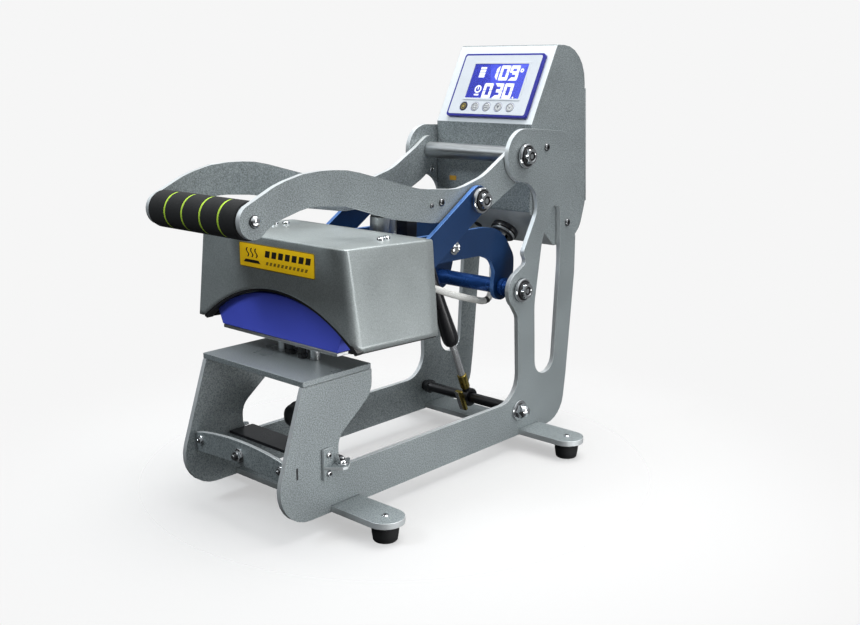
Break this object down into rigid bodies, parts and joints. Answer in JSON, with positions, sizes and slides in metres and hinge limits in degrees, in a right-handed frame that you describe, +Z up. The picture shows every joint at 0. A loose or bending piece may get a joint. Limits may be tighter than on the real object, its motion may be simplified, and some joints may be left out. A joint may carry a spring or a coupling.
{
  "type": "cap heat press",
  "caption": "Clamshell heat press with a curved lower platen, a toggle handle, a gas spring that opens it, and a sloped control box.",
  "frame": {"origin": "bottom centre of the whole press, on the surface that the feet stand on", "axes": "+Z up; +X across the press, to the right of the person at the handle; +Y from the handle at the front to the control box at the rear"},
  "size_m": [0.274, 0.4789, 0.4225],
  "materials": {
    "painted_steel": "satin hammered silver",
    "bright_steel": "polished",
    "blued_steel": "satin",
    "black_steel": "satin",
    "cover_sheet": "satin",
    "aluminium": "cast",
    "silicone": "matte",
    "rubber": "matte",
    "foam": "soft foam",
    "box_paint": "satin",
    "bezel": "smooth",
    "fascia": "smooth",
    "screen": "lit display",
    "brass": "satin",
    "board": "smooth",
    "sleeve": "braided sleeve"
  },
  "bodies": {
    "frame": {"side_plate_left": "painted_steel", "side_plate_right": "painted_steel", "front_foot_bar": "painted_steel", "rear_foot_bar": "painted_steel", "front_rubber_foot_left": "rubber", "front_rubber_foot_right": "rubber", "rear_rubber_foot_left": "rubber", "rear_rubber_foot_right": "rubber", "shelf_plate": "painted_steel", "front_brace": "painted_steel", "cross_plate": "black_steel", "lower_shaft": "black_steel", "handle_pivot_bolt_left": "bright_steel", "handle_pivot_bolt_right": "bright_steel", "head_pivot_bolt_left": "bright_steel", "head_pivot_bolt_right": "bright_steel", "control_box": "box_paint", "back_cover": "painted_steel", "display_bezel": "bezel", "display_fascia": "fascia", "lcd_screen": "screen", "controller_board": "board", "solid_state_relay": "black_steel", "power_inlet": "black_steel", "cable_gland": "black_steel", "heater_lead": "sleeve"},
    "head": {"heat_cover": "cover_sheet", "heated_platen": "aluminium", "hook_arm_left": "blued_steel", "hook_arm_right": "blued_steel", "pivot_tube": "blued_steel", "spring_pin": "bright_steel", "head_beam": "blued_steel", "link_lug_left": "blued_steel", "link_lug_right": "blued_steel", "release_cylinder": "bright_steel", "magnet_block": "black_steel"},
    "handle": {"handle_arm_left": "painted_steel", "handle_arm_right": "painted_steel", "torque_tube": "bright_steel", "grip_rod": "bright_steel", "foam_grip": "foam"},
    "links": {"link_left": "blued_steel", "link_right": "blued_steel", "link_pin_left": "bright_steel", "link_pin_right": "bright_steel"},
    "gas_cylinder": {"gas_cylinder": "black_steel"},
    "gas_rod": {"gas_rod": "bright_steel"},
    "lower_platen": {"silicone_pad": "silicone", "lower_platen_plate": "aluminium", "guide_post_left": "bright_steel", "guide_post_right": "bright_steel"},
    "knob": {"pressure_knob": "black_steel"},
    "button_power": {"button_power": "brass"},
    "button_mode": {"button_mode": "fascia"},
    "button_down": {"button_down": "fascia"},
    "button_up": {"button_up": "fascia"},
    "button_start": {"button_start": "fascia"}
  },
  "joints": [
    {"name": "head_open", "type": "hinge", "parent": "frame", "child": "head", "pos_m": [0, 0.11452, 0.175], "axis": [-1, 0, 0], "range_deg": [0, 30.45], "deforming": ["heater_lead"]},
    {"name": "handle_lift", "type": "hinge", "parent": "frame", "child": "handle", "pos_m": [0, 0.11702, 0.3125], "axis": [-1, 0, 0], "range_deg": [0, 75]},
    {"name": "link_swing", "type": "hinge", "parent": "handle", "child": "links", "pos_m": [0, 0.04502, 0.2745], "axis": [-1, 0, 0], "range_deg": [-99.52, 0]},
    {"name": "gas_cylinder_swing", "type": "hinge", "parent": "head", "child": "gas_cylinder", "pos_m": [0, 0.03752, 0.226], "axis": [-1, 0, 0], "range_deg": [-18.24, 0]},
    {"name": "gas_rod_swing", "type": "hinge", "parent": "frame", "child": "gas_rod", "pos_m": [0, 0.11552, 0.044], "axis": [-1, 0, 0], "range_deg": [0, 12.22]},
    {"name": "platen_lift", "type": "slide", "parent": "frame", "child": "lower_platen", "axis": [0, 0, 1], "range_m": [0, 0.002]},
    {"name": "knob_turn", "type": "hinge", "parent": "lower_platen", "child": "knob", "pos_m": [0, -0.11448, 0.081], "axis": [0, 0, 1], "range_deg": [0, 360]},
    {"name": "button_power_press", "type": "slide", "parent": "frame", "child": "button_power", "axis": [0, 0.887, -0.4617], "range_m": [0, 0.001], "stiffness_N_per_m": 300, "springref_m": -0.001},
    {"name": "button_mode_press", "type": "slide", "parent": "frame", "child": "button_mode", "axis": [0, 0.887, -0.4617], "range_m": [0, 0.001], "stiffness_N_per_m": 300, "springref_m": -0.001},
    {"name": "button_down_press", "type": "slide", "parent": "frame", "child": "button_down", "axis": [0, 0.887, -0.4617], "range_m": [0, 0.001], "stiffness_N_per_m": 300, "springref_m": -0.001},
    {"name": "button_up_press", "type": "slide", "parent": "frame", "child": "button_up", "axis": [0, 0.887, -0.4617], "range_m": [0, 0.001], "stiffness_N_per_m": 300, "springref_m": -0.001},
    {"name": "button_start_press", "type": "slide", "parent": "frame", "child": "button_start", "axis": [0, 0.887, -0.4617], "range_m": [0, 0.001], "stiffness_N_per_m": 300, "springref_m": -0.001}
  ],
  "couplings": [
    {"joint": "handle_lift", "follows": "head_open", "ratio": 2.463},
    {"joint": "link_swing", "follows": "head_open", "ratio": -3.2681},
    {"joint": "gas_cylinder_swing", "follows": "head_open", "ratio": -0.59887},
    {"joint": "gas_rod_swing", "follows": "head_open", "ratio": 0.40113},
    {"joint": "platen_lift", "follows": "knob_turn", "m_per_rad": 0.00031831}
  ]
}
